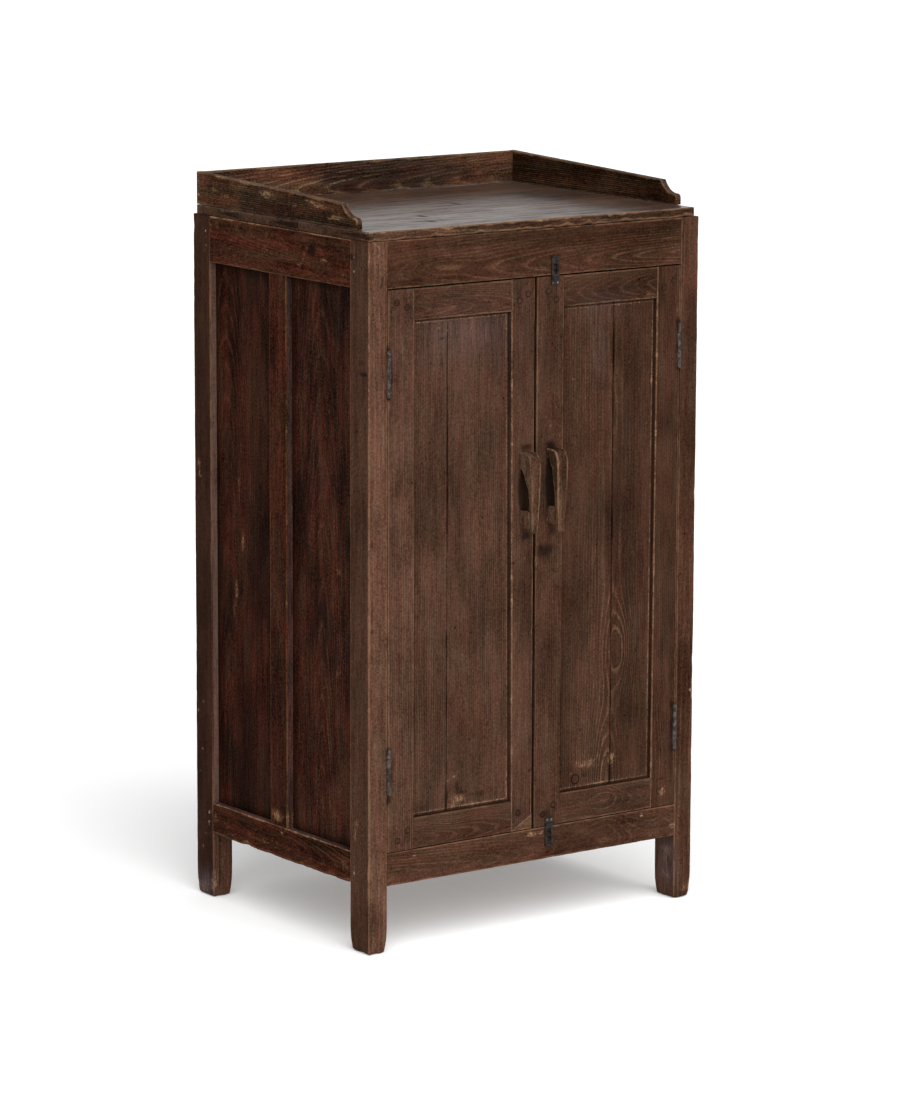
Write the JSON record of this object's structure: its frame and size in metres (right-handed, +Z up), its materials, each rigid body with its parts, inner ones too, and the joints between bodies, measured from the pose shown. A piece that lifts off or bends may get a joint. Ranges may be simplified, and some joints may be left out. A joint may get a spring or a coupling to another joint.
{
  "type": "kang cabinet",
  "caption": "Tall framed and panelled cupboard on square legs, with paired hinged doors, carved wooden grips, iron hasps and a low gallery round the top.",
  "frame": {"origin": "bottom centre of the box round the closed cupboard, on the floor", "axes": "+Z up, +Y from the doors to the back, +X to the right as seen from the front"},
  "size_m": [0.686, 0.553, 1.2645],
  "materials": {
    "frame_wood": "old brown wax, satin",
    "side_wood": "dark red-brown wax, satin",
    "side_panel_wood": "dark red-brown wax, satin",
    "top_wood": "worn brown wax, satin",
    "gallery_wood": "worn brown wax, satin",
    "inside_wood": "bare, dry, matt",
    "door_wood": "old brown wax, satin",
    "door_panel_wood": "old brown wax, satin",
    "handle_wood": "hand-worn, satin",
    "peg_wood": "end grain, matt",
    "patch_wood": "old brown wax, satin",
    "hinge_steel": "dull worn steel",
    "screw_steel": "dull worn steel",
    "nail_iron": "dark iron",
    "hasp_iron": "blackened iron"
  },
  "bodies": {
    "root": {"back_boards": "side_wood", "back_bottom_rail": "side_wood", "back_top_rail": "side_wood", "board_cleats": "inside_wood", "floor_boards": "inside_wood", "frame_nails": "nail_iron", "frieze_rail": "frame_wood", "front_bottom_rail": "frame_wood", "gallery_back": "gallery_wood", "gallery_left": "gallery_wood", "gallery_right": "gallery_wood", "hasp_staples": "hasp_iron", "hinge_frame_leaves": "hinge_steel", "hinge_frame_screws": "screw_steel", "hinge_pins": "hinge_steel", "left_bottom_rail": "side_wood", "left_front_panel": "side_panel_wood", "left_muntin": "side_wood", "left_rear_panel": "side_panel_wood", "left_top_rail": "side_wood", "leg_front_left": "frame_wood", "leg_front_right": "frame_wood", "leg_rear_left": "frame_wood", "leg_rear_right": "frame_wood", "right_bottom_rail": "side_wood", "right_front_panel": "side_panel_wood", "right_muntin": "side_wood", "right_rear_panel": "side_panel_wood", "right_top_rail": "side_wood", "shelf_boards": "inside_wood", "top_front_board": "top_wood", "top_middle_board": "top_wood", "top_rear_board": "top_wood"},
    "left_door": {"left_door_bottom_rail": "door_wood", "left_door_handle_block": "handle_wood", "left_door_handle_grip": "handle_wood", "left_door_hinge_leaves": "hinge_steel", "left_door_hinge_stile": "door_wood", "left_door_inner_panel_board": "door_panel_wood", "left_door_meeting_stile": "door_wood", "left_door_outer_panel_board": "door_panel_wood", "left_door_pegs": "peg_wood", "left_door_repair_patch": "patch_wood", "left_door_screws": "screw_steel", "left_door_top_rail": "door_wood"},
    "right_door": {"hasp_plates": "hasp_iron", "right_door_bottom_rail": "door_wood", "right_door_handle_block": "handle_wood", "right_door_handle_grip": "handle_wood", "right_door_hinge_leaves": "hinge_steel", "right_door_hinge_stile": "door_wood", "right_door_inner_panel_board": "door_panel_wood", "right_door_meeting_stile": "door_wood", "right_door_outer_panel_board": "door_panel_wood", "right_door_pegs": "peg_wood", "right_door_screws": "screw_steel", "right_door_top_rail": "door_wood"},
    "upper_hasp": {"upper_hasp_strap": "hasp_iron"},
    "lower_hasp": {"lower_hasp_strap": "hasp_iron"}
  },
  "joints": [
    {"name": "left_door_hinge", "type": "hinge", "parent": "root", "child": "left_door", "pos_m": [-0.3032, -0.2461, 0.64], "axis": [0, 0, -1], "range_deg": [0, 170]},
    {"name": "right_door_hinge", "type": "hinge", "parent": "root", "child": "right_door", "pos_m": [0.302, -0.2461, 0.64], "axis": [0, 0, 1], "range_deg": [0, 170]},
    {"name": "upper_hasp_hinge", "type": "hinge", "parent": "right_door", "child": "upper_hasp", "pos_m": [0.0355, -0.2481, 1.1082], "axis": [1, 0, 0], "range_deg": [0, 170]},
    {"name": "lower_hasp_hinge", "type": "hinge", "parent": "right_door", "child": "lower_hasp", "pos_m": [0.0305, -0.2481, 0.174], "axis": [-1, 0, 0], "range_deg": [0, 170]}
  ]
}
